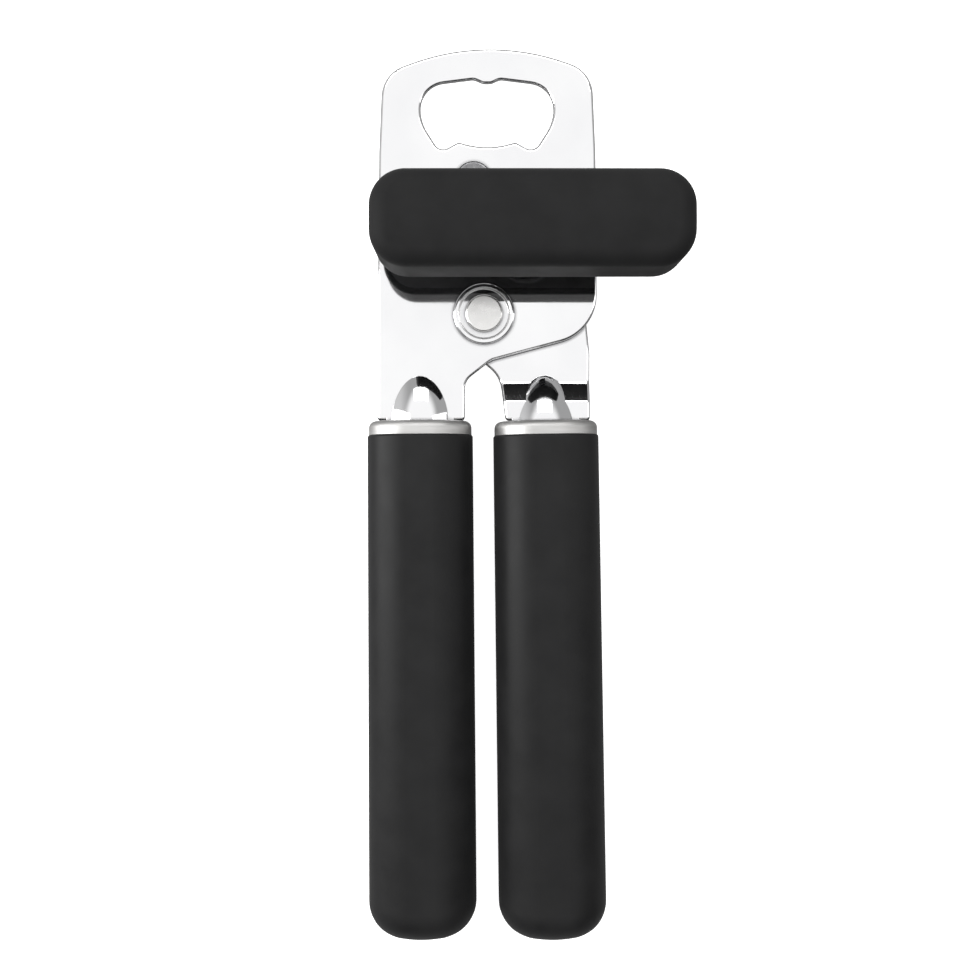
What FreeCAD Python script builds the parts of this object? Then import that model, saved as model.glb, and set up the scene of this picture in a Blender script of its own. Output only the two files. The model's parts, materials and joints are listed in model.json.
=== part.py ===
import FreeCAD, Part
import math
import os

# Manual butterfly can opener, in millimetres, lying on its back with the turning knob up.
#
# Two stamped steel plates are riveted together like a pair of pliers. The head plate carries the left
# handle, the crown-cap opening, the knob and its feed wheel. The lever plate lies behind it and carries the
# right handle and the cutting wheel. Closing the handles brings the cutting wheel to the feed wheel, and a
# gear on each turns them together.
#
# Everything is drawn about the pivot rivet's axis, with Z = 0 at the head plate's middle, the handles
# towards -Y and the knob towards +Z. The finished pieces are then moved so that the origin is the centre of
# the footprint, on the surface that the opener lies on.

Vector = FreeCAD.Vector
X_AXIS = Vector(1, 0, 0)
Y_AXIS = Vector(0, 1, 0)
Z_AXIS = Vector(0, 0, 1)

# ---- plates ----
plate_thickness = 1.8
plate_gap = 0.3              # shim between the two plates
plate_edge_radius = 0.75     # tumbled edges of both stampings
opening_angle = 24.0         # how far the lever swings open
stop_margin = 0.6            # degrees of slot left past the swing at each end

# ---- head plate outline, from the pivot ----
head_left = 25.45
head_right = 26.95
head_top = 63.2
crown_radius = 54.0
crown_slope = 20.0           # slope of the crown where it meets the corners, degrees
crown_centre_x = 1.4
head_corner_radius = 7.9
head_taper = 1.2             # how much each side draws in between the knob and the corners
taper_start_y = 39.0
brow_slope = 15.0            # slope of the lower edge under the pivot, degrees
brow_y = -10.94              # where that edge turns down to the tang
brow_x = 1.74
brow_radius = 11.5
throat_slope = 38.0
throat_radius = 4.0

# ---- crown-cap opening ----
opening_centre_x = 0.7
opening_top = 56.0
opening_bottom = 38.4
opening_half_width = 15.8
cap_tooth_depth = 0.95
cap_tooth_half_width = 3.1

# ---- mechanism axes, from the pivot ----
knob_axis = Vector(10.4, 17.2, 0)
axle_spacing = 18.0          # cutting wheel axis to feed wheel axis, handles closed
guide_axis = Vector(-2.5, 31.7, 0)

# ---- gears and wheels ----
gear_teeth = 12
gear_thickness = 1.6
pressure_angle = 25.0
gear_addendum = 0.9          # in modules
gear_dedendum = 1.15         # in modules
gear_backlash = 0.26
thrust_washer_thickness = 0.4
feed_radius = 6.7
feed_tooth_depth = 0.95
feed_teeth = 20
feed_thickness = 2.4
cutter_lap = 0.5             # how far the cutting edge laps the feed wheel
rim_nip = 3.5                # between the feed wheel and the hub, for the can's rim
cutter_hub_chamfer = 0.55    # clears the drive gear's teeth
cutter_spigot_radius = 4.2
disc_thickness = 1.0
cutting_edge_land = 0.12
bevel_width = 2.3
shear_gap = 0.12             # between the feed wheel's back and the cutting disc

# ---- rivets and bearings ----
rivet_radius = 2.5
running_clearance = 0.05
side_clearance = 0.1         # between faces that slide past each other
pivot_ring_radius = 7.2
pivot_ring_height = 1.2
pivot_rim_radius = 0.5
pivot_dish_radius = 6.2
pivot_dish_depth = 0.45
pivot_head_radius = 4.4
pivot_head_height = 1.1
shim_radius = 7.0
tail_head_radius = 4.4
tail_head_height = 0.9
dished_washer_thickness = 0.3
guide_head_radius = 4.5
guide_head_height = 1.2
guide_tail_radius = 4.2
slot_clearance = 0.25
axle_head_radius = 4.0
axle_tail_height = 0.7
shaft_radius = 3.0
shaft_square = 4.8
shaft_flats = 4.4
shaft_tail_radius = 3.9
bushing_radius = 4.0
bushing_flange_radius = 6.2
bushing_flange_height = 0.8

# ---- knob ----
knob_length = 70.8
knob_width = 21.2
knob_corner_radius = 8.0
knob_bottom = 11.0
knob_top = 27.0
knob_crown_radius = 52.0
knob_edge_radius = 4.0
knob_rim_radius = 1.0
knob_wall = 2.4
knob_base_thickness = 2.2
knob_base_inset = 1.5
neck_radius = 7.2
neck_foot_radius = 6.4
knob_washer_thickness = 0.5
knob_boss_radius = 8.0
insert_radius = 5.5
insert_height = 8.0
insert_flat = 9.6

# ---- handles ----
handle_depth = 19.4
grip_top_width = 25.0
grip_end_width = 25.6
grip_length = 118.9          # from the collar's seat to the rounded end
grip_corner_radius = 9.2
grip_end_radius = 7.9
grip_end_crown = 30.0        # radius of the gently crowned end
grip_mouth_radius = 0.5
grip_wall = 2.4
collar_height = 3.3
collar_inset = 0.3
collar_top = 1.0
collar_edge_radius = 1.6
collar_y = -25.55            # top of both collars
left_axis_x = -15.2
left_tilt = 0.33
right_axis_x = 14.65
right_tilt = 0.82

# ---- tangs ----
tang_width = 16.0
tang_length = 62.0
tang_shoulder_radius = 0.85
tang_shoulder_gap = 0.2      # between the plates' shoulders and the collars
tang_pin_radius = 1.5
tang_pin_depth = 52.0        # below the collar's top
tang_clearance = 0.15
rib_half_width = 6.7
rib_nose_length = 10.8       # how far the rib runs out in front of the collar
rib_nose_sweep = 40.0        # how far round the nose's arc is drawn, degrees
rib_height = 2.8
rib_wall = 1.5
rib_length = 22.0            # straight part of the rib inside the handle
lever_rib_setback = 2.8      # how much lower the lever plate's rib starts
left_tang_inner_x = -4.6
joggle_start = -15.9
joggle_slope = 23.0          # degrees
joggle_bend_radius = 1.2

# ---- levels along Z ----
beyond = 200.0               # further than the opener reaches, for cutting blocks
front = plate_thickness / 2
back = -front
lever_front = back - plate_gap
lever_back = lever_front - plate_thickness
gear_front = lever_back - thrust_washer_thickness
gear_back = gear_front - gear_thickness
feed_back = gear_back - feed_thickness
disc_front = feed_back - shear_gap
disc_back = disc_front - disc_thickness
axle_tail_front = disc_back - dished_washer_thickness
axle_tail_back = axle_tail_front - side_clearance - axle_tail_height
rest_level = min(-handle_depth / 2, axle_tail_back)
pivot_seat = front + pivot_ring_height - pivot_dish_depth
joggle_rise = plate_thickness + plate_gap
joggle_end = joggle_start - joggle_rise / math.tan(math.radians(joggle_slope))

cutter_axis = knob_axis - Vector(axle_spacing, 0, 0)
gear_module = axle_spacing / gear_teeth
cutter_radius = axle_spacing - feed_radius + cutter_lap
cutter_hub_radius = axle_spacing - feed_radius - rim_nip
shoulder_y = collar_y + tang_shoulder_gap
guide_swing_radius = guide_axis.Length
knob_swing_radius = knob_axis.Length


# ---------------------------------------------------------------- shared shapes

def rounded_wire(corners, z=0.0):
    """Closed wire through (x, y, radius) corners, each rounded by a tangent arc of its radius."""
    count = len(corners)
    edges = []
    ends = []
    for i, (x, y, radius) in enumerate(corners):
        here = Vector(x, y, z)
        before = Vector(corners[i - 1][0], corners[i - 1][1], z)
        after = Vector(corners[(i + 1) % count][0], corners[(i + 1) % count][1], z)
        inward = (before - here).normalize()
        outward = (after - here).normalize()
        half = inward.getAngle(outward) / 2
        if radius <= 0 or abs(half - math.pi / 2) < 1e-6:
            ends.append((here, here))
            continue
        reach = radius / math.tan(half)
        start = here + inward * reach
        end = here + outward * reach
        bisector = (inward + outward).normalize()
        middle = here + bisector * (radius / math.sin(half) - radius)
        edges.append((i, Part.Arc(start, middle, end).toShape()))
        ends.append((start, end))
    arcs = dict(edges)
    chain = []
    for i in range(count):
        if i in arcs:
            chain.append(arcs[i])
        start = ends[i][1]
        end = ends[(i + 1) % count][0]
        if (end - start).Length > 1e-6:
            chain.append(Part.makeLine(start, end))
    return Part.Wire(Part.__sortEdges__(chain))


def prism(corners, z_low, z_high):
    """Solid of that outline between two levels."""
    face = Part.Face(rounded_wire(corners, z_low))
    return face.extrude(Vector(0, 0, z_high - z_low))


def rounded_rectangle(length, width, radius, centre=Vector()):
    """Corners of a rounded rectangle, for rounded_wire."""
    x = length / 2
    y = width / 2
    return [(centre.x + sx * x, centre.y + sy * y, radius) for sx, sy in ((-1, -1), (1, -1), (1, 1), (-1, 1))]


def turned(profile, axis):
    """Solid turned about a Z axis at that point, from a closed (radius, z) profile."""
    points = [Vector(axis.x + r, axis.y, z) for r, z in profile]
    face = Part.Face(Part.makePolygon(points + points[:1]))
    return face.revolve(Vector(axis.x, axis.y, 0), Z_AXIS, 360)


def rod(radius, z_low, z_high, axis):
    return Part.makeCylinder(radius, z_high - z_low, Vector(axis.x, axis.y, z_low))


def ring(inner, outer, z_low, z_high, axis):
    return rod(outer, z_low, z_high, axis).cut(rod(inner, z_low, z_high, axis))


def edges_where(shape, test):
    """Edges whose middle and ends all pass the test."""
    found = []
    for edge in shape.Edges:
        low, high = edge.ParameterRange
        samples = [edge.valueAt(low + (high - low) * share) for share in (0.0, 0.25, 0.5, 0.75, 1.0)]
        if all(test(p) for p in samples):
            found.append(edge)
    return found


def at_level(z, tolerance=1e-4):
    return lambda p: abs(p.z - z) < tolerance


def rounded_disc(radius, z_low, z_high, axis, edge_radius):
    """Low round head with its outer rim rounded on the side away from z_low."""
    disc = rod(radius, min(z_low, z_high), max(z_low, z_high), axis)
    return disc.makeFillet(edge_radius, edges_where(disc, at_level(z_high)))


def arc_slot(swing_radius, start_angle, end_angle, half_width, z_low, z_high):
    """Slot with round ends that follows an arc about the pivot. Angles in degrees."""
    def at(radius, angle):
        turn = math.radians(angle)
        return Vector(radius * math.cos(turn), radius * math.sin(turn), z_low)

    middle = (start_angle + end_angle) / 2
    outer = swing_radius + half_width
    inner = swing_radius - half_width
    sweep = Part.Wire([
        Part.Arc(at(outer, start_angle), at(outer, middle), at(outer, end_angle)).toShape(),
        Part.makeLine(at(outer, end_angle), at(inner, end_angle)),
        Part.Arc(at(inner, end_angle), at(inner, middle), at(inner, start_angle)).toShape(),
        Part.makeLine(at(inner, start_angle), at(outer, start_angle)),
    ])
    band = Part.Face(sweep).extrude(Vector(0, 0, z_high - z_low))
    for angle in (start_angle, end_angle):
        band = band.fuse(rod(half_width, z_low, z_high, at(swing_radius, angle)))
    return band.removeSplitter()


def bearing_angle(axis):
    return math.degrees(math.atan2(axis.y, axis.x))


# ---------------------------------------------------------------- handles

def place_handle(shape, axis_x, tilt):
    """Moves a piece drawn about a handle's own axis, with the collar's top at y = 0, to its own side."""
    shape.rotate(Vector(), Z_AXIS, tilt)
    shape.translate(Vector(axis_x, collar_y, 0))
    return shape


def handle_form(inset, y_top, y_end):
    """Oval handle body drawn in by inset, from y_top to y_end. Its front and back are flat."""
    share = (grip_end_width - grip_top_width) / grip_length / 2

    def half_width(y):
        return grip_top_width / 2 - inset - (y + collar_height) * share

    z = handle_depth / 2 - inset
    plan = [
        (-half_width(y_top), y_top, 0),
        (-half_width(y_end), y_end, 0),
        (half_width(y_end), y_end, 0),
        (half_width(y_top), y_top, 0),
    ]
    body = prism(plan, -z, z)
    long_edges = edges_where(body, lambda p: abs(abs(p.z) - z) < 1e-4 and y_end - 1 < p.y < y_top + 1
                             and abs(abs(p.x) - half_width(p.y)) < 1e-3)
    return body.makeFillet(grip_corner_radius - inset, long_edges)


def closed_form(inset, y_top, y_end):
    """handle_form with its far end crowned and rounded over."""
    spare = 10.0
    crown = grip_end_crown - inset
    crown_centre = Vector(0, y_end + crown, 0)
    body = handle_form(inset, y_top, y_end - spare)
    keep = Part.makeBox(2 * beyond, beyond, 2 * beyond, Vector(-beyond, crown_centre.y, -beyond))
    body = body.common(keep.fuse(rod(crown, -beyond, beyond, crown_centre)))
    end_edges = edges_where(body, lambda p: abs(math.hypot(p.x, p.y - crown_centre.y) - crown) < 1e-3)
    return body.makeFillet(grip_end_radius - inset, end_edges)


def rib_solid(inset, setback):
    """Form of the tang's pressed rib, drawn in by inset: a barrel with a domed nose at each end."""
    barrel_radius = (rib_half_width ** 2 + rib_height ** 2) / (2 * rib_height)
    nose_radius = (rib_nose_length ** 2 + rib_height ** 2) / (2 * rib_height)
    axis_level = front + rib_height - barrel_radius
    waist = math.radians(rib_nose_sweep)

    def nose(share, y_base, side):
        reach = (nose_radius - inset) * math.sin(waist * share)
        drop = (nose_radius - inset) * (1 - math.cos(waist * share))
        return Vector(barrel_radius - inset - drop, y_base + side * reach, axis_level)

    upper = [nose(share, -setback, 1) for share in (0, 0.5, 1)]
    lower = [nose(share, -setback - rib_length, -1) for share in (0, 0.5, 1)]
    upper_pole = Vector(0, upper[2].y, axis_level)
    lower_pole = Vector(0, lower[2].y, axis_level)
    outline = Part.Wire([
        Part.makeLine(upper_pole, upper[2]),
        Part.Arc(upper[2], upper[1], upper[0]).toShape(),
        Part.makeLine(upper[0], lower[0]),
        Part.Arc(lower[0], lower[1], lower[2]).toShape(),
        Part.makeLine(lower[2], lower_pole),
        Part.makeLine(lower_pole, upper_pole),
    ])
    return Part.Face(outline).revolve(Vector(0, 0, axis_level), Y_AXIS, 360)


def behind_level(level):
    """Block that fills the space behind that level."""
    return Part.makeBox(2 * beyond, 2 * beyond, beyond, Vector(-beyond, -beyond, level - beyond))


def tang_blade():
    """Flat blade that goes down inside the handle, with the hole for its pin."""
    blade = prism(
        [
            (-tang_width / 2, 3.0, 0),
            (-tang_width / 2, -tang_length, 4.0),
            (tang_width / 2, -tang_length, 4.0),
            (tang_width / 2, 3.0, 0),
        ],
        back,
        front,
    )
    return blade.cut(rod(tang_pin_radius, back, front, Vector(0, -tang_pin_depth, 0)))


def add_tang(plate, axis_x, tilt, setback, behind):
    """Joins the blade and the pressed rib to a plate, and hollows the rib. behind is what lies behind it."""
    blade = place_handle(tang_blade(), axis_x, tilt)
    rib = place_handle(rib_solid(0, setback), axis_x, tilt).cut(behind)
    hollow = place_handle(rib_solid(rib_wall, setback), axis_x, tilt)
    return plate.fuse([blade, rib]).cut(hollow).removeSplitter()


def handle_core(plate, axis_x, tilt):
    """Hard plastic core moulded round the tang and its pin."""
    core_end = -collar_height - grip_length + grip_wall
    core = place_handle(closed_form(grip_wall, -collar_top, core_end), axis_x, tilt)
    pin = tang_pin(axis_x, tilt)
    return core.cut([plate, pin])


def tang_pin(axis_x, tilt):
    half_length = handle_depth / 2 - grip_wall - 0.4
    pin = rod(tang_pin_radius, -half_length, half_length, Vector(0, -tang_pin_depth, 0))
    return place_handle(pin, axis_x, tilt)


def handle_grip(axis_x, tilt):
    """Soft-touch outer shell with a closed round end, over the core."""
    seat = -collar_height
    outer = closed_form(0, seat, seat - grip_length)
    mouth = edges_where(outer, lambda p: abs(p.y - seat) < 1e-3)
    outer = outer.makeFillet(grip_mouth_radius, mouth)
    cavity = closed_form(grip_wall, -collar_top, seat - grip_length + grip_wall)
    return place_handle(outer.cut(cavity), axis_x, tilt)


def handle_collar(axis_x, tilt, setback):
    """Drawn steel ferrule that caps the core; the tang passes through its top."""
    outer = handle_form(collar_inset, 0, -collar_height)
    top_edges = edges_where(outer, lambda p: abs(p.y) < 1e-3)
    outer = outer.makeFillet(collar_edge_radius, top_edges)
    cavity = handle_form(grip_wall, -collar_top, -collar_height)
    slot = Part.makeBox(tang_width + 2 * tang_clearance, 20, plate_thickness + 2 * tang_clearance,
                        Vector(-tang_width / 2 - tang_clearance, -10, back - tang_clearance))
    rib_way = rib_solid(-tang_clearance, setback).cut(behind_level(back - tang_clearance))
    return place_handle(outer.cut([cavity, slot, rib_way]), axis_x, tilt)


# ---------------------------------------------------------------- plates

def head_outline():
    """Corners of the head plate, clockwise from the left shoulder."""
    slope = math.tan(math.radians(crown_slope))
    apex = head_top + crown_radius * (1 / math.cos(math.radians(crown_slope)) - 1)
    left_top = -head_left + head_taper
    right_top = head_right - head_taper
    brow = math.tan(math.radians(brow_slope))
    throat = math.tan(math.radians(throat_slope))
    return [
        (-head_left, shoulder_y, tang_shoulder_radius),
        (-head_left, -5.0, 60.0),
        (-head_left + 0.45, taper_start_y, 60.0),
        (left_top, apex - (crown_centre_x - left_top) * slope, head_corner_radius),
        (crown_centre_x, apex, crown_radius),
        (right_top, apex - (right_top - crown_centre_x) * slope, head_corner_radius),
        (head_right - 0.4, taper_start_y, 60.0),
        (head_right, brow_y + (head_right - brow_x) * brow, brow_radius),
        (brow_x, brow_y, throat_radius),
        (left_tang_inner_x, brow_y - (brow_x - left_tang_inner_x) * throat, throat_radius),
        (left_tang_inner_x, shoulder_y, tang_shoulder_radius),
    ]


def cap_opening():
    """Outline of the crown-cap opening: a tooth at the top, two lobes and a saddle at the bottom."""
    half = [
        (1.0, opening_top - cap_tooth_depth, 2.0),
        (cap_tooth_half_width, opening_top, 2.2),
        (opening_half_width + 0.1, opening_top - 1.6, 6.2),
        (opening_half_width, opening_top - 10.2, 10.5),
        (11.2, opening_bottom + 0.2, 2.3),
        (6.8, opening_bottom + 2.6, 0.9),
    ]
    saddle = (opening_centre_x, opening_bottom + 0.7, 20.0)
    right = [(opening_centre_x + x, y, r) for x, y, r in half]
    left = [(opening_centre_x - x, y, r) for x, y, r in reversed(half)]
    return right + [saddle] + left


def head_plate():
    plate = prism(head_outline(), back, front)
    plate = plate.cut(prism(cap_opening(), back - 1, front + 1))
    rim = edges_where(plate, at_level(front)) + edges_where(plate, at_level(back))
    plate = plate.makeFillet(plate_edge_radius, rim)
    plate = add_tang(plate, left_axis_x, left_tilt, 0, behind_level(back))
    return plate.cut([
        rod(rivet_radius, back, front, Vector()),
        rod(rivet_radius, back, front, guide_axis),
        rod(bushing_radius, back, front, knob_axis),
    ])


def lever_outline():
    """Corners of the lever plate, clockwise from its left shoulder. Closed, it hides behind the head."""
    guide_reach = guide_swing_radius + rivet_radius + slot_clearance + 2.3
    axle_left = cutter_axis.x - axle_head_radius - 3.6
    return [
        (5.15, shoulder_y, tang_shoulder_radius),
        (3.8, -14.6, 7.5),
        (-10.0, -3.0, 8.0),
        (axle_left - 0.6, cutter_axis.y - 1.0, 9.0),
        (guide_axis.x - 6.6, guide_reach, 5.0),
        (guide_axis.x + 5.2, guide_reach + 0.5, 34.0),
        (guide_reach * math.cos(math.radians(66)) + 1.5, guide_reach * math.sin(math.radians(66)) + 1.0, 9.0),
        (22.8, 25.0, 6.0),
        (23.2, 12.0, 20.0),
        (25.35, -9.0, 12.0),
        (25.25, shoulder_y, tang_shoulder_radius),
    ]


def across(section):
    """Solid right across the opener, from a side section given as (y, z, radius) corners."""
    body = prism(section, -beyond, beyond)
    body.rotate(Vector(), Vector(1, 1, 1), 120)
    return body


def joggled_strip():
    """Side section of the lever plate, with a joggle that brings its tang level with the other."""
    shift = plate_thickness * math.tan(math.radians(joggle_slope) / 2)
    outer = joggle_bend_radius + plate_thickness

    section = [
        (beyond, lever_back, 0),
        (joggle_start - shift, lever_back, joggle_bend_radius),
        (joggle_end - shift, back, outer),
        (-beyond, back, 0),
        (-beyond, front, 0),
        (joggle_end, front, joggle_bend_radius),
        (joggle_start, lever_front, outer),
        (beyond, lever_front, 0),
    ]
    return across(section)


def behind_lever():
    """Everything behind the lever plate's joggled sheet."""
    section = [
        (beyond, lever_back, 0),
        (joggle_start, lever_back, 0),
        (joggle_end, back, 0),
        (-beyond, back, 0),
        (-beyond, -beyond, 0),
        (beyond, -beyond, 0),
    ]
    return across(section)


def lever_plate():
    blank = prism(lever_outline(), lever_back - 1, front + 1)
    plate = blank.common(joggled_strip())
    swing = opening_angle + stop_margin
    guide_from = bearing_angle(guide_axis)
    knob_from = bearing_angle(knob_axis)
    low = lever_back - 1
    high = lever_front + 1
    plate = plate.cut([
        arc_slot(guide_swing_radius, guide_from - swing, guide_from + stop_margin,
                 rivet_radius + slot_clearance, low, high),
        arc_slot(knob_swing_radius, knob_from - swing, knob_from + stop_margin,
                 bushing_radius + slot_clearance, low, high),
    ])
    rim = [e for e in plate.Edges if is_rim_edge(e, plate)]
    plate = plate.makeFillet(plate_edge_radius, rim)
    plate = add_tang(plate, right_axis_x, right_tilt, lever_rib_setback, behind_lever())
    countersink = turned(
        [
            (0, lever_front + 1),
            (axle_head_radius, lever_front + 1),
            (axle_head_radius, lever_front),
            (rivet_radius, lever_front - (axle_head_radius - rivet_radius)),
            (rivet_radius, lever_back - 1),
            (0, lever_back - 1),
        ],
        cutter_axis,
    )
    return plate.cut([rod(rivet_radius + running_clearance, low, high, Vector()), countersink])


def is_rim_edge(edge, plate):
    """True for the edges where a plate's faces meet its cut sides."""
    sides = 0
    for face in plate.ancestorsOfType(edge, Part.Face):
        u, v = face.Surface.parameter(edge.CenterOfMass)
        if abs(face.normalAt(u, v).z) < 1e-3:
            sides += 1
    return sides == 1


# ---------------------------------------------------------------- pivot and guide

def pivot_ring():
    """Dished washer with a raised rim, held under the pivot rivet's head."""
    top = pivot_seat + pivot_dish_depth
    disc = rounded_disc(pivot_ring_radius, front, top, Vector(), pivot_rim_radius)
    dish = turned(
        [
            (0, pivot_seat),
            (pivot_dish_radius - pivot_dish_depth, pivot_seat),
            (pivot_dish_radius, top),
            (0, top),
        ],
        Vector(),
    )
    return disc.cut([dish, rod(rivet_radius, front, top, Vector())])


def pivot_rivet():
    """Rivet that the lever plate turns on: a low turned head in front, a formed tail behind."""
    tail_front = lever_back - dished_washer_thickness - side_clearance
    head = rounded_disc(pivot_head_radius, pivot_seat, pivot_seat + pivot_head_height, Vector(), 0.5)
    tail = rounded_disc(tail_head_radius, tail_front, tail_front - tail_head_height, Vector(), 0.5)
    return head.fuse([rod(rivet_radius, tail_front, pivot_seat, Vector()), tail]).removeSplitter()


def pivot_shim():
    return ring(rivet_radius, shim_radius, lever_front + 0.02, back, Vector())


def dished_washer(z_back, axis, inner):
    """Spring washer, slightly dished, lying with its back at that level."""
    outer = inner + 2.2
    dish = 0.06
    body = dished_washer_thickness - dish
    top = z_back + body
    return turned([(inner, z_back), (inner, top), (outer, top + dish), (outer, z_back + dish)], axis)


def pivot_spring_washer():
    return dished_washer(lever_back - dished_washer_thickness - side_clearance, Vector(), rivet_radius)


def guide_rivet():
    """Stop rivet in the head plate. Its shank runs in the lever's curved slot and its tail holds both."""
    tail_front = lever_back - side_clearance
    head = rounded_disc(guide_head_radius, front, front + guide_head_height, guide_axis, 0.7)
    tail = rounded_disc(guide_tail_radius, tail_front, tail_front - 0.8, guide_axis, 0.4)
    return head.fuse([rod(rivet_radius, tail_front, front, guide_axis), tail]).removeSplitter()


# ---------------------------------------------------------------- drive

def drive_bushing():
    """Flanged bearing pressed into the head plate, long enough to reach through the lever plate's slot."""
    flange = rounded_disc(bushing_flange_radius, front, front + bushing_flange_height, knob_axis, 0.3)
    barrel = rod(bushing_radius, lever_back - side_clearance / 2, front, knob_axis)
    bore = rod(shaft_radius + running_clearance, -20, 20, knob_axis)
    return flange.fuse(barrel).cut(bore).removeSplitter()


def squared(z_low, z_high, grow=0.0):
    """Square length of the drive shaft, with its corners left round."""
    side = shaft_square + 2 * grow
    block = Part.makeBox(side, side, z_high - z_low, knob_axis + Vector(-side / 2, -side / 2, z_low))
    return block.common(rod(shaft_radius + grow, z_low, z_high, knob_axis))


def flatted(z_low, z_high):
    """Top of the drive shaft, with two flats for the knob's insert."""
    block = Part.makeBox(20, shaft_flats, z_high - z_low, knob_axis + Vector(-10, -shaft_flats / 2, z_low))
    return block.common(rod(shaft_radius, z_low, z_high, knob_axis))


insert_bottom = knob_bottom + knob_base_thickness
insert_top = insert_bottom + insert_height


def drive_shaft():
    tail = rounded_disc(shaft_tail_radius, feed_back, feed_back - 0.9, knob_axis, 0.6)
    return tail.fuse([
        squared(feed_back, gear_front),
        rod(shaft_radius, gear_front, insert_bottom, knob_axis),
        flatted(insert_bottom, insert_top),
    ]).removeSplitter()


def involute_point(base, radius, lean, side):
    """Point of a tooth flank at that radius. lean is the flank's angle at the base circle."""
    roll = math.sqrt(max(0.0, (radius / base) ** 2 - 1))
    angle = side * (lean - (roll - math.atan(roll)))
    return Vector(radius * math.cos(angle), radius * math.sin(angle), 0)


def gear_face(phase):
    """Spur gear outline about its own centre, with a tooth at the angle phase, in degrees."""
    pitch = gear_module * gear_teeth / 2
    base = pitch * math.cos(math.radians(pressure_angle))
    tip = pitch + gear_addendum * gear_module
    root = pitch - gear_dedendum * gear_module
    roll = math.tan(math.radians(pressure_angle))
    lean = (math.pi / 2 - gear_backlash / gear_module) / gear_teeth + roll - math.radians(pressure_angle)
    steps = 5
    radii = [base + (tip - base) * i / steps for i in range(steps + 1)]
    rising = [involute_point(base, r, lean, -1) for r in radii]
    falling = [involute_point(base, r, lean, 1) for r in reversed(radii)]
    foot = Vector(root * math.cos(lean), -root * math.sin(lean), 0)
    far_foot = Vector(root * math.cos(lean), root * math.sin(lean), 0)
    half_gap = math.pi / gear_teeth
    valley = Vector(root * math.cos(half_gap), root * math.sin(half_gap), 0)
    next_foot = FreeCAD.Rotation(Z_AXIS, 360.0 / gear_teeth).multVec(foot)
    up = Part.BSplineCurve()
    up.interpolate(rising)
    down = Part.BSplineCurve()
    down.interpolate(falling)
    tooth = [
        Part.makeLine(foot, rising[0]),
        up.toShape(),
        Part.Arc(rising[-1], Vector(tip, 0, 0), falling[0]).toShape(),
        down.toShape(),
        Part.makeLine(falling[-1], far_foot),
        Part.Arc(far_foot, valley, next_foot).toShape(),
    ]
    edges = []
    for i in range(gear_teeth):
        for edge in tooth:
            copy = edge.copy()
            copy.rotate(Vector(), Z_AXIS, phase + i * 360.0 / gear_teeth)
            edges.append(copy)
    return Part.Face(Part.Wire(Part.__sortEdges__(edges)))


def gear_blank(phase, axis):
    face = gear_face(phase)
    face.translate(Vector(axis.x, axis.y, gear_back))
    return face.extrude(Vector(0, 0, gear_thickness))


def drive_gear():
    return gear_blank(180.0, knob_axis).cut(squared(gear_back, gear_front))


def feed_wheel():
    """Serrated wheel that grips under the can's bead, with both edges of its teeth chamfered."""
    pitch = 360.0 / feed_teeth
    profile = [(0.0, feed_radius - feed_tooth_depth), (0.42, feed_radius), (0.58, feed_radius)]
    points = []
    for i in range(feed_teeth):
        for share, radius in profile:
            angle = math.radians((i + share) * pitch)
            points.append(knob_axis + Vector(radius * math.cos(angle), radius * math.sin(angle), feed_back))
    star = Part.Face(Part.makePolygon(points + points[:1])).extrude(Vector(0, 0, feed_thickness))
    chamfer = 0.45
    envelope = turned(
        [
            (0, feed_back),
            (feed_radius - chamfer, feed_back),
            (feed_radius, feed_back + chamfer),
            (feed_radius, gear_back - chamfer),
            (feed_radius - chamfer, gear_back),
            (0, gear_back),
        ],
        knob_axis,
    )
    return star.common(envelope).cut(squared(feed_back, gear_back))


def gear_thrust_washer():
    low = gear_front
    high = lever_back - side_clearance
    return ring(shaft_radius, bushing_radius + 1.6, low, high, knob_axis)


# ---------------------------------------------------------------- knob

neck_foot = front + bushing_flange_height + knob_washer_thickness + side_clearance


def knob_washer():
    low = front + bushing_flange_height + side_clearance / 2
    return ring(shaft_radius, bushing_flange_radius, low, low + knob_washer_thickness, knob_axis)


def knob_block(inset, z_low, z_high):
    """Knob outline drawn in by inset, between two levels."""
    length = knob_length - 2 * inset
    width = knob_width - 2 * inset
    return prism(rounded_rectangle(length, width, knob_corner_radius - inset, knob_axis), z_low, z_high)


def knob_shell():
    """Hollow upper shell: crowned across its width, with a soft edge and a boss for the steel insert."""
    outer = knob_block(0, knob_bottom, knob_top + 2)
    crown_start = knob_axis + Vector(-knob_length, 0, knob_top - knob_crown_radius)
    outer = outer.common(Part.makeCylinder(knob_crown_radius, 2 * knob_length, crown_start, X_AXIS))
    top_edges = edges_where(outer, lambda p: p.z > knob_top - 1.5)
    outer = outer.makeFillet(knob_edge_radius, top_edges)
    outer = outer.makeFillet(knob_rim_radius, edges_where(outer, at_level(knob_bottom)))
    hollow = knob_block(knob_wall, knob_bottom + knob_base_thickness, knob_top - knob_wall - 0.9)
    hollow = hollow.cut(rod(knob_boss_radius, insert_bottom, knob_top, knob_axis))
    seat = knob_block(knob_base_inset, knob_bottom, knob_bottom + knob_base_thickness)
    return outer.cut([hollow, seat, insert_block()])


def insert_block():
    """Outer form of the steel insert: a cylinder with two flats, so that it can't turn in the knob."""
    corner = knob_axis + Vector(-insert_radius, -insert_flat / 2, insert_bottom)
    block = Part.makeBox(2 * insert_radius, insert_flat, insert_height, corner)
    return block.common(rod(insert_radius, insert_bottom, insert_top, knob_axis))


def knob_insert():
    return insert_block().cut(flatted(insert_bottom, insert_top))


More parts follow.
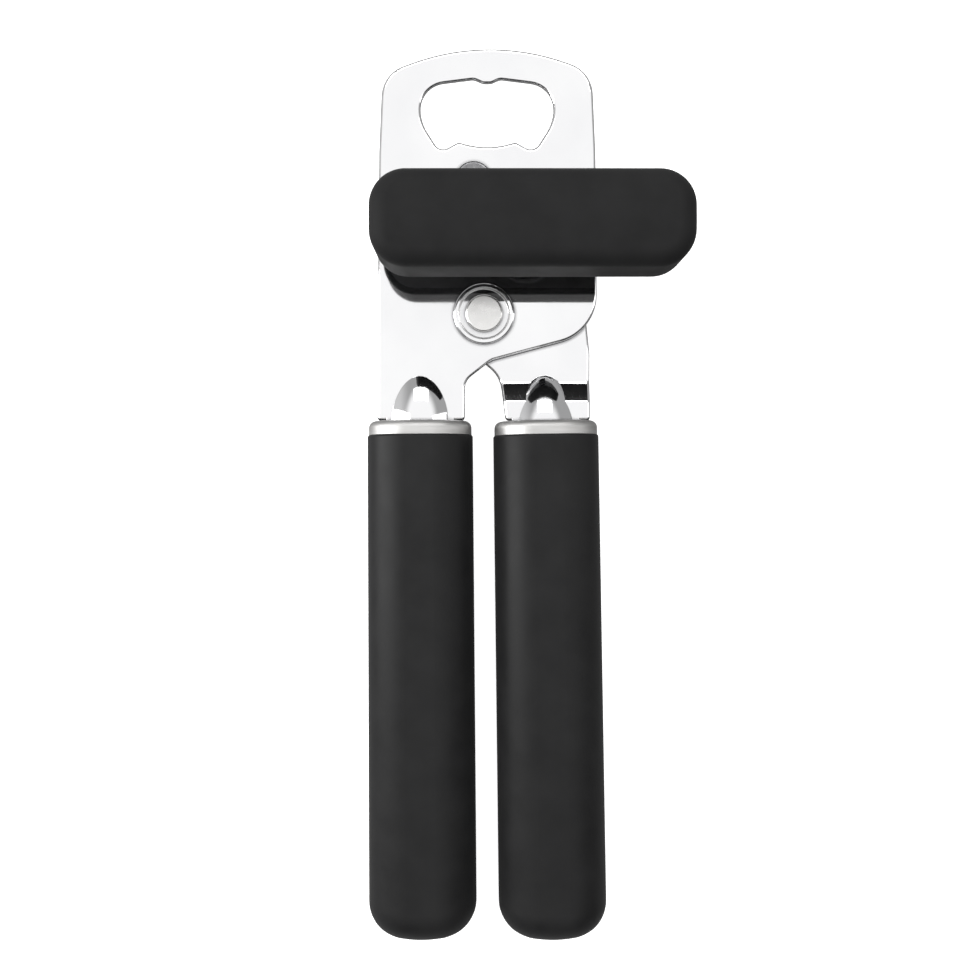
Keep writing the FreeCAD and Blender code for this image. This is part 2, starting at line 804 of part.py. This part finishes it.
def knob_base():
    """Cover under the knob, with the neck that stands on the thrust washer."""
    cover = knob_block(knob_base_inset, knob_bottom, knob_bottom + knob_base_thickness)
    neck = turned(
        [
            (0, neck_foot),
            (neck_foot_radius, neck_foot),
            (neck_radius, knob_bottom - 1.0),
            (neck_radius, knob_bottom),
            (0, knob_bottom),
        ],
        knob_axis,
    )
    joined = cover.fuse(neck)
    root = edges_where(joined, lambda p: abs(p.z - knob_bottom) < 1e-4
                       and abs((p - knob_axis - Vector(0, 0, knob_bottom)).Length - neck_radius) < 1e-3)
    joined = joined.makeFillet(0.9, root)
    return joined.cut(rod(shaft_radius, neck_foot, insert_bottom, knob_axis))


# ---------------------------------------------------------------- cutter

def cutter_axle():
    """Rivet that the cutting wheel turns on, flush in the lever plate's front and headed behind."""
    shank = turned(
        [
            (0, lever_front),
            (axle_head_radius, lever_front),
            (rivet_radius, lever_front - (axle_head_radius - rivet_radius)),
            (rivet_radius, axle_tail_front - side_clearance),
            (0, axle_tail_front - side_clearance),
        ],
        cutter_axis,
    )
    tail = rounded_disc(tail_head_radius, axle_tail_front - side_clearance, axle_tail_back, cutter_axis, 0.4)
    return shank.fuse(tail).removeSplitter()


def cutting_wheel():
    """Hardened disc, bevelled behind to its cutting edge, with the hub that rides on the can's rim."""
    bore = rivet_radius + running_clearance
    return turned(
        [
            (bore, gear_front),
            (cutter_spigot_radius, gear_front),
            (cutter_spigot_radius, gear_back),
            (cutter_hub_radius - cutter_hub_chamfer, gear_back),
            (cutter_hub_radius, gear_back - cutter_hub_chamfer),
            (cutter_hub_radius, disc_front),
            (cutter_radius, disc_front),
            (cutter_radius, disc_front - cutting_edge_land),
            (cutter_radius - bevel_width, disc_back),
            (bore, disc_back),
        ],
        cutter_axis,
    )


def cutter_gear():
    half_pitch = 180.0 / gear_teeth
    seat = rod(cutter_spigot_radius, gear_back, gear_front, cutter_axis)
    return gear_blank(half_pitch, cutter_axis).cut(seat)


def cutter_thrust_washer():
    bore = rivet_radius + running_clearance
    return ring(bore, bore + 2.9, gear_front, lever_back - side_clearance / 2, cutter_axis)


def cutter_spring_washer():
    return dished_washer(axle_tail_front - side_clearance / 2, cutter_axis, rivet_radius + running_clearance)


# ---------------------------------------------------------------- assembly

def build():
    head = head_plate()
    lever = lever_plate()
    pieces = {
        "head_plate": head,
        "lever_plate": lever,
        "pivot_ring": pivot_ring(),
        "pivot_rivet": pivot_rivet(),
        "pivot_shim": pivot_shim(),
        "pivot_spring_washer": pivot_spring_washer(),
        "guide_rivet": guide_rivet(),
        "drive_bushing": drive_bushing(),
        "drive_shaft": drive_shaft(),
        "drive_gear": drive_gear(),
        "gear_thrust_washer": gear_thrust_washer(),
        "feed_wheel": feed_wheel(),
        "knob_shell": knob_shell(),
        "knob_base": knob_base(),
        "knob_insert": knob_insert(),
        "knob_washer": knob_washer(),
        "cutter_axle": cutter_axle(),
        "cutting_wheel": cutting_wheel(),
        "cutter_gear": cutter_gear(),
        "cutter_thrust_washer": cutter_thrust_washer(),
        "cutter_spring_washer": cutter_spring_washer(),
    }
    for side, plate, axis_x, tilt, setback in (
        ("left", head, left_axis_x, left_tilt, 0),
        ("right", lever, right_axis_x, right_tilt, lever_rib_setback),
    ):
        pieces[side + "_core"] = handle_core(plate, axis_x, tilt)
        pieces[side + "_tang_pin"] = tang_pin(axis_x, tilt)
        pieces[side + "_grip"] = handle_grip(axis_x, tilt)
        pieces[side + "_collar"] = handle_collar(axis_x, tilt, setback)
    return pieces


def footprint_centre(pieces):
    """Centre of the whole opener's footprint, at the level it rests on."""
    box = Part.makeCompound(list(pieces.values())).optimalBoundingBox(False)
    return Vector((box.XMin + box.XMax) / 2, (box.YMin + box.YMax) / 2, rest_level)


def main():
    pieces = build()
    origin = footprint_centre(pieces)
    os.makedirs("parts", exist_ok=True)
    for name, shape in pieces.items():
        shape.translate(origin * -1)
        solids = shape.Solids
        print(f"{name}: {len(solids)} solid, valid {shape.isValid()}, volume {shape.Volume:.1f}")
        body = solids[0] if len(solids) == 1 else Part.makeCompound(solids)
        body.exportStep(os.path.join("parts", name + ".step"))
    axes = {"pivot": Vector(), "knob": knob_axis, "cutter": cutter_axis, "guide": guide_axis}
    for name, axis in axes.items():
        here = axis - origin
        print(f"{name} axis at x {here.x:.3f}, y {here.y:.3f}, plate middle z {here.z:.3f}")


main()
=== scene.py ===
import bpy
import json
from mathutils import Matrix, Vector

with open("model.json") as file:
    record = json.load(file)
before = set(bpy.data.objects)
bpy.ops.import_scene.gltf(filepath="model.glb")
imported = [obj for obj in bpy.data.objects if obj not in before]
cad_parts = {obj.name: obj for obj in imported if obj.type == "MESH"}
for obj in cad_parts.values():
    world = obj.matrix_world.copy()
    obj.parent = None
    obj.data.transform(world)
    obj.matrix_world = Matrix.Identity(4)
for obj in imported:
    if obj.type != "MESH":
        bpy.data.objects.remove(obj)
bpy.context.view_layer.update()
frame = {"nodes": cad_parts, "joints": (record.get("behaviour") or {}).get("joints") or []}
cadNodes = frame["nodes"]
joints = {joint["name"]: joint for joint in frame["joints"]}
pivot = Vector(joints["handle_open"]["pos_m"])
cutterAxis = Vector(joints["cutter_spin"]["pos_m"])
print("opener loaded:", len(cadNodes), "pieces")


def startMaterial(name, metallic=0.0):
    material = bpy.data.materials.new(name)
    material.use_nodes = True
    shader = material.node_tree.nodes["Principled BSDF"]
    shader.inputs["Metallic"].default_value = metallic
    return material, material.node_tree.nodes, material.node_tree.links, shader


def objectCoordinates(nodes, links, stretch=(1.0, 1.0, 1.0), shift=(0.0, 0.0, 0.0)):
    source = nodes.new("ShaderNodeTexCoord")
    mapping = nodes.new("ShaderNodeMapping")
    mapping.vector_type = "POINT"
    mapping.inputs["Location"].default_value = shift
    mapping.inputs["Scale"].default_value = stretch
    links.new(source.outputs["Object"], mapping.inputs["Vector"])
    return mapping.outputs["Vector"]


def noiseField(nodes, links, vector, scale, detail=3.0, roughness=0.5):
    noise = nodes.new("ShaderNodeTexNoise")
    noise.inputs["Scale"].default_value = scale
    noise.inputs["Detail"].default_value = detail
    noise.inputs["Roughness"].default_value = roughness
    links.new(vector, noise.inputs["Vector"])
    return noise.outputs["Fac"]


# Noise stays near its middle, so it is read from 0.3 to 0.7 unless told otherwise.
def spread(nodes, links, value, low, high, fromLow=0.3, fromHigh=0.7):
    ranger = nodes.new("ShaderNodeMapRange")
    ranger.inputs["From Min"].default_value = fromLow
    ranger.inputs["From Max"].default_value = fromHigh
    ranger.inputs["To Min"].default_value = low
    ranger.inputs["To Max"].default_value = high
    links.new(value, ranger.inputs["Value"])
    return ranger.outputs["Result"]


def blendColours(nodes, links, value, first, second):
    mixer = nodes.new("ShaderNodeMix")
    mixer.data_type = "RGBA"
    mixer.inputs[6].default_value = (*first, 1.0)
    mixer.inputs[7].default_value = (*second, 1.0)
    links.new(value, mixer.inputs[0])
    return mixer.outputs[2]


def mottle(nodes, links, pattern, tones):
    return blendColours(nodes, links, spread(nodes, links, pattern, 0.0, 1.0), *tones)


def roughen(nodes, links, shader, pattern, rough):
    links.new(spread(nodes, links, pattern, *rough), shader.inputs["Roughness"])


# Each height is a pattern with its strength and its depth in metres.
def addBump(nodes, links, shader, heights, softEdge=0.0):
    normal = None
    if softEdge > 0:
        bevel = nodes.new("ShaderNodeBevel")
        bevel.samples = 6
        bevel.inputs["Radius"].default_value = softEdge
        normal = bevel.outputs["Normal"]
    for pattern, strength, depth in heights:
        bump = nodes.new("ShaderNodeBump")
        bump.inputs["Strength"].default_value = strength
        bump.inputs["Distance"].default_value = depth
        links.new(pattern, bump.inputs["Height"])
        if normal is not None:
            links.new(normal, bump.inputs["Normal"])
        normal = bump.outputs["Normal"]
    links.new(normal, shader.inputs["Normal"])


mirrorSteel = {
    "tones": ((0.90, 0.90, 0.905), (0.84, 0.84, 0.85)), "rough": (0.035, 0.075),
    "wipe": (60.0, 4.0), "peel": (260.0, 1.0),
    "scratch": (5200.0, 2.0, 0.6), "scratchStretch": (1.0, 0.08, 1.0),
    "peelBump": (0.05, 0.00002), "scratchBump": (0.02, 0.000004), "softEdge": 0.00012,
    # The crease entries paint shade into the plates' colour where other pieces stand close.
    "creaseShadeTone": (0.06, 0.06, 0.065), "creaseReach": 0.0013, "creaseSpan": (0.45, 0.88),
}


# Painted shade: the plates' colour darkens towards a dark tone in the creases, where another piece stands
# close.
def paintedCreaseShade(nodes, links, clean):
    nearness = nodes.new("ShaderNodeAmbientOcclusion")
    nearness.samples = 8
    nearness.inputs["Distance"].default_value = mirrorSteel["creaseReach"]
    opened = spread(nodes, links, nearness.outputs["AO"], 0.0, 1.0, *mirrorSteel["creaseSpan"])
    mixer = nodes.new("ShaderNodeMix")
    mixer.data_type = "RGBA"
    mixer.inputs[6].default_value = (*mirrorSteel["creaseShadeTone"], 1.0)
    links.new(clean, mixer.inputs[7])
    links.new(opened, mixer.inputs[0])
    return mixer.outputs[2]


def polishedPlateSteel(name):
    material, nodes, links, shader = startMaterial(name, 1.0)
    place = objectCoordinates(nodes, links)
    along = objectCoordinates(nodes, links, mirrorSteel["scratchStretch"])
    wipe = noiseField(nodes, links, place, *mirrorSteel["wipe"])
    scratch = noiseField(nodes, links, along, *mirrorSteel["scratch"])
    peel = noiseField(nodes, links, place, *mirrorSteel["peel"])
    clean = mottle(nodes, links, wipe, mirrorSteel["tones"])
    # The plates' colour carries painted shade in the creases.
    links.new(paintedCreaseShade(nodes, links, clean), shader.inputs["Base Color"])
    roughen(nodes, links, shader, wipe, mirrorSteel["rough"])
    marks = [(peel, *mirrorSteel["peelBump"]), (scratch, *mirrorSteel["scratchBump"])]
    addBump(nodes, links, shader, marks, mirrorSteel["softEdge"])
    return material


satinSteel = {
    "tones": ((0.56, 0.555, 0.546), (0.47, 0.465, 0.456)), "rough": (0.46, 0.56),
    "grain": (900.0, 3.0, 0.65), "grainStretch": (0.06, 1.0, 0.3), "cloud": (180.0, 3.0),
    "bump": (0.12, 0.00003), "softEdge": 0.00015,
}


def satinBandSteel(name):
    material, nodes, links, shader = startMaterial(name, 1.0)
    place = objectCoordinates(nodes, links)
    around = objectCoordinates(nodes, links, satinSteel["grainStretch"])
    grain = noiseField(nodes, links, around, *satinSteel["grain"])
    cloud = noiseField(nodes, links, place, *satinSteel["cloud"])
    links.new(mottle(nodes, links, grain, satinSteel["tones"]), shader.inputs["Base Color"])
    roughen(nodes, links, shader, cloud, satinSteel["rough"])
    addBump(nodes, links, shader, [(grain, *satinSteel["bump"])], satinSteel["softEdge"])
    return material


turnedSteel = {
    "tones": ((0.84, 0.835, 0.82), (0.74, 0.735, 0.725)), "rough": (0.22, 0.34),
    "ringPitch": 0.00013, "rings": (2.0, 0.7), "cloud": (400.0, 2.0),
    "bump": (0.12, 0.00001), "softEdge": 0.00012,
}


# The rings left by turning run round the centre, so the noise is read by the distance from it.
def turnedFaceSteel(name, centre):
    material, nodes, links, shader = startMaterial(name, 1.0)
    place = objectCoordinates(nodes, links, shift=(-centre.x, -centre.y, 0.0))
    flat = nodes.new("ShaderNodeVectorMath")
    flat.operation = "MULTIPLY"
    flat.inputs[1].default_value = (1.0, 1.0, 0.0)
    links.new(place, flat.inputs[0])
    reach = nodes.new("ShaderNodeVectorMath")
    reach.operation = "LENGTH"
    links.new(flat.outputs["Vector"], reach.inputs[0])
    ringPlace = nodes.new("ShaderNodeCombineXYZ")
    links.new(reach.outputs["Value"], ringPlace.inputs["X"])
    ringScale = 1.0 / turnedSteel["ringPitch"]
    rings = noiseField(nodes, links, ringPlace.outputs["Vector"], ringScale, *turnedSteel["rings"])
    cloud = noiseField(nodes, links, place, *turnedSteel["cloud"])
    links.new(mottle(nodes, links, rings, turnedSteel["tones"]), shader.inputs["Base Color"])
    roughen(nodes, links, shader, cloud, turnedSteel["rough"])
    addBump(nodes, links, shader, [(rings, *turnedSteel["bump"])], turnedSteel["softEdge"])
    return material


groundMarks = {
    "grain": (2600.0, 3.0), "grainStretch": (1.0, 0.12, 1.0), "stain": (240.0, 5.0, 0.6),
    "bump": (0.1, 0.00002), "softEdge": 0.00012,
}
toolSteel = {"tones": ((0.55, 0.55, 0.56), (0.30, 0.30, 0.31)), "rough": (0.24, 0.46)}
blackenedSteel = {"tones": ((0.26, 0.26, 0.265), (0.13, 0.13, 0.135)), "rough": (0.22, 0.36)}


def groundSteel(name, finish):
    material, nodes, links, shader = startMaterial(name, 1.0)
    place = objectCoordinates(nodes, links)
    along = objectCoordinates(nodes, links, groundMarks["grainStretch"])
    grain = noiseField(nodes, links, along, *groundMarks["grain"])
    stain = noiseField(nodes, links, place, *groundMarks["stain"])
    links.new(mottle(nodes, links, stain, finish["tones"]), shader.inputs["Base Color"])
    roughen(nodes, links, shader, grain, finish["rough"])
    addBump(nodes, links, shader, [(grain, *groundMarks["bump"])], groundMarks["softEdge"])
    return material


plainSteel = {
    "tones": ((0.62, 0.62, 0.62), (0.45, 0.45, 0.455)), "rough": (0.20, 0.36),
    "cloud": (320.0, 4.0), "speck": (3200.0, 2.0), "bump": (0.08, 0.00001), "softEdge": 0.0001,
}


def zincPlatedSteel(name):
    material, nodes, links, shader = startMaterial(name, 1.0)
    place = objectCoordinates(nodes, links)
    cloud = noiseField(nodes, links, place, *plainSteel["cloud"])
    speck = noiseField(nodes, links, place, *plainSteel["speck"])
    links.new(mottle(nodes, links, cloud, plainSteel["tones"]), shader.inputs["Base Color"])
    roughen(nodes, links, shader, speck, plainSteel["rough"])
    addBump(nodes, links, shader, [(speck, *plainSteel["bump"])], plainSteel["softEdge"])
    return material


softTouch = {
    "bend": 1.24, "bloom": 0.05, "bloomRough": 0.45,
    "grain": (2600.0, 3.0, 0.6), "cloud": (140.0, 3.0), "bump": (0.35, 0.000012),
}
gripRubber = {
    "tones": ((0.0105, 0.0105, 0.0108), (0.0140, 0.0140, 0.0143)),
    "rough": (0.42, 0.52), "gloss": 0.5,
}
knobRubber = {
    "tones": ((0.0150, 0.0150, 0.0153), (0.0185, 0.0185, 0.0188)),
    "rough": (0.54, 0.64), "gloss": 0.18,
}


def softTouchBlack(name, rubber):
    material, nodes, links, shader = startMaterial(name)
    shader.inputs["IOR"].default_value = softTouch["bend"]
    shader.inputs["Sheen Weight"].default_value = softTouch["bloom"]
    shader.inputs["Sheen Roughness"].default_value = softTouch["bloomRough"]
    shader.inputs["Specular IOR Level"].default_value = rubber["gloss"]
    place = objectCoordinates(nodes, links)
    grain = noiseField(nodes, links, place, *softTouch["grain"])
    cloud = noiseField(nodes, links, place, *softTouch["cloud"])
    links.new(mottle(nodes, links, cloud, rubber["tones"]), shader.inputs["Base Color"])
    roughen(nodes, links, shader, cloud, rubber["rough"])
    addBump(nodes, links, shader, [(grain, *softTouch["bump"])])
    return material


mouldedPlastic = {
    "tones": ((0.012, 0.012, 0.0125), (0.02, 0.02, 0.021)), "rough": (0.34, 0.5), "gloss": 0.4,
    "spark": (3400.0, 2.0), "flow": (120.0, 3.0), "bump": (0.3, 0.00001),
}


def mouldedBlack(name):
    material, nodes, links, shader = startMaterial(name)
    shader.inputs["Specular IOR Level"].default_value = mouldedPlastic["gloss"]
    place = objectCoordinates(nodes, links)
    spark = noiseField(nodes, links, place, *mouldedPlastic["spark"])
    flow = noiseField(nodes, links, place, *mouldedPlastic["flow"])
    links.new(mottle(nodes, links, flow, mouldedPlastic["tones"]), shader.inputs["Base Color"])
    roughen(nodes, links, shader, spark, mouldedPlastic["rough"])
    addBump(nodes, links, shader, [(spark, *mouldedPlastic["bump"])])
    return material


def dress(material, *names):
    for name in names:
        slots = cadNodes[name].data.materials
        slots.clear()
        slots.append(material)


dress(polishedPlateSteel("polishedPlates"), "head_plate", "lever_plate", "pivot_ring")
dress(groundSteel("blackenedRivet", blackenedSteel), "guide_rivet")
dress(turnedFaceSteel("turnedPivotFace", pivot), "pivot_rivet")
dress(satinBandSteel("satinCollars"), "left_collar", "right_collar")
dress(turnedFaceSteel("turnedWheelFace", cutterAxis), "cutting_wheel", "cutter_axle", "cutter_spring_washer")
dress(groundSteel("groundGears", toolSteel), "drive_gear", "cutter_gear", "feed_wheel")
dress(zincPlatedSteel("platedFixings"), "pivot_shim", "pivot_spring_washer", "drive_bushing", "drive_shaft",
      "gear_thrust_washer", "knob_washer", "knob_insert", "cutter_thrust_washer",
      "left_tang_pin", "right_tang_pin")
dress(softTouchBlack("softTouchShells", gripRubber), "left_grip", "right_grip")
dress(softTouchBlack("softTouchKnob", knobRubber), "knob_shell")
dress(mouldedBlack("mouldedCores"), "left_core", "right_core", "knob_base")
print("finishes on")


# The first shader lights and is mirrored, and the second is what the eye sees.
def chooseByEye(nodes, links, lighting, seen, output):
    rays = nodes.new("ShaderNodeLightPath")
    choice = nodes.new("ShaderNodeMixShader")
    links.new(rays.outputs["Is Camera Ray"], choice.inputs["Fac"])
    links.new(lighting, choice.inputs[1])
    links.new(seen, choice.inputs[2])
    links.new(choice.outputs["Shader"], output)


table = {
    "size": 1.6, "tones": ((0.92, 0.92, 0.92), (0.9108, 0.9108, 0.9062)), "cloud": (8.0, 2.0),
    "rough": 0.9, "glow": 0.80, "greyInSteel": 0.26,
}


# Polished steel meets a darker table than the eye does, so its edges are drawn.
def makeTable():
    half = table["size"] / 2
    mesh = bpy.data.meshes.new("studioFloor")
    corners = [(-half, -half, 0), (half, -half, 0), (half, half, 0), (-half, half, 0)]
    mesh.from_pydata(corners, [], [(0, 1, 2, 3)])
    floor = bpy.data.objects.new("studioFloor", mesh)
    bpy.context.scene.collection.objects.link(floor)
    material, nodes, links, shader = startMaterial("paleFloor")
    cloud = noiseField(nodes, links, objectCoordinates(nodes, links), *table["cloud"])
    links.new(blendColours(nodes, links, cloud, *table["tones"]), shader.inputs["Base Color"])
    shader.inputs["Roughness"].default_value = table["rough"]
    shader.inputs["Emission Color"].default_value = (1.0, 1.0, 1.0, 1.0)
    shader.inputs["Emission Strength"].default_value = table["glow"]
    darker = nodes.new("ShaderNodeBsdfDiffuse")
    grey = table["greyInSteel"]
    darker.inputs["Color"].default_value = (grey, grey, grey, 1.0)
    output = nodes["Material Output"].inputs["Surface"]
    chooseByEye(nodes, links, darker.outputs["BSDF"], shader.outputs["BSDF"], output)
    mesh.materials.append(material)


def skyBand(nodes, links, direction, levels, span):
    band = spread(nodes, links, direction, *levels, *span)
    band.node.interpolation_type = "SMOOTHSTEP"
    return band


# A white tent overhead. Its walls are dark towards the handles' ends, paler past the head
# and brightest on the left.
tent = {
    "overhead": 1.08, "topSpan": (0.58, 0.82), "backdrop": 0.96,
    "farWall": (0.03, 0.36), "farSpan": (-0.6, 0.25), "leftWall": (0.25, 0.0), "leftSpan": (-0.95, -0.55),
}


def makeTent():
    world = bpy.data.worlds.new("studioSky")
    bpy.context.scene.world = world
    world.use_nodes = True
    nodes = world.node_tree.nodes
    links = world.node_tree.links
    source = nodes.new("ShaderNodeTexCoord")
    split = nodes.new("ShaderNodeSeparateXYZ")
    links.new(source.outputs["Generated"], split.inputs["Vector"])
    across, along, up = split.outputs
    walls = nodes.new("ShaderNodeMath")
    walls.operation = "ADD"
    links.new(skyBand(nodes, links, along, tent["farWall"], tent["farSpan"]), walls.inputs[0])
    links.new(skyBand(nodes, links, across, tent["leftWall"], tent["leftSpan"]), walls.inputs[1])
    shade = nodes.new("ShaderNodeMix")
    shade.data_type = "FLOAT"
    shade.inputs[3].default_value = 1.0
    links.new(skyBand(nodes, links, up, (0.0, 1.0), tent["topSpan"]), shade.inputs[0])
    links.new(walls.outputs["Value"], shade.inputs[2])
    background = nodes["Background"]
    links.new(shade.outputs[0], background.inputs["Color"])
    background.inputs["Strength"].default_value = tent["overhead"]
    backdrop = nodes.new("ShaderNodeBackground")  # what is seen past the floor, from any side
    backdrop.inputs["Color"].default_value = (1.0, 1.0, 1.0, 1.0)
    backdrop.inputs["Strength"].default_value = tent["backdrop"]
    output = nodes["World Output"].inputs["Surface"]
    chooseByEye(nodes, links, background.outputs["Background"], backdrop.outputs["Background"], output)


softboxes = {
    "leftSoftbox": {"place": (-0.75, 0.05, 0.42), "aim": (0, 0, 0), "size": (0.35, 0.9), "power": 8.0},
    "rightSoftbox": {"place": (0.80, 0.10, 0.50), "aim": (0, 0, 0), "size": (0.25, 0.8), "power": 1.0},
    "headSoftbox": {"place": (0.0, 0.66, 0.80), "aim": (0, 0.05, 0.02), "size": (0.8, 0.3), "power": 2.8},
}


def hangSoftbox(name, box):
    lamp = bpy.data.lights.new(name, "AREA")
    lamp.shape = "RECTANGLE"
    lamp.size, lamp.size_y = box["size"]
    lamp.energy = box["power"]
    holder = bpy.data.objects.new(name, lamp)
    bpy.context.scene.collection.objects.link(holder)
    holder.location = box["place"]
    holder.rotation_euler = (Vector(box["aim"]) - Vector(box["place"])).to_track_quat("-Z", "Y").to_euler()


makeTable()
makeTent()
for name, box in softboxes.items():
    hangSoftbox(name, box)
print("studio lit")


# Straight above the opener and a little towards the handles. The span is the width in sight at the pivot.
view = {"rise": 0.240, "aside": -0.00096, "below": -0.0395, "span": 0.2292, "sensor": 36.0, "nearest": 0.01}


def makeCamera():
    camera = bpy.data.cameras.new("productCamera")
    holder = bpy.data.objects.new("productCamera", camera)
    bpy.context.scene.collection.objects.link(holder)
    holder.location = pivot + Vector((view["aside"], view["below"], view["rise"]))
    camera.sensor_width = view["sensor"]
    camera.lens = view["sensor"] * view["rise"] / view["span"]
    camera.clip_start = view["nearest"]
    bpy.context.scene.camera = holder


makeCamera()
bpy.context.scene.view_settings.view_transform = "Standard"
bpy.context.scene.view_settings.look = "None"
print("camera set")
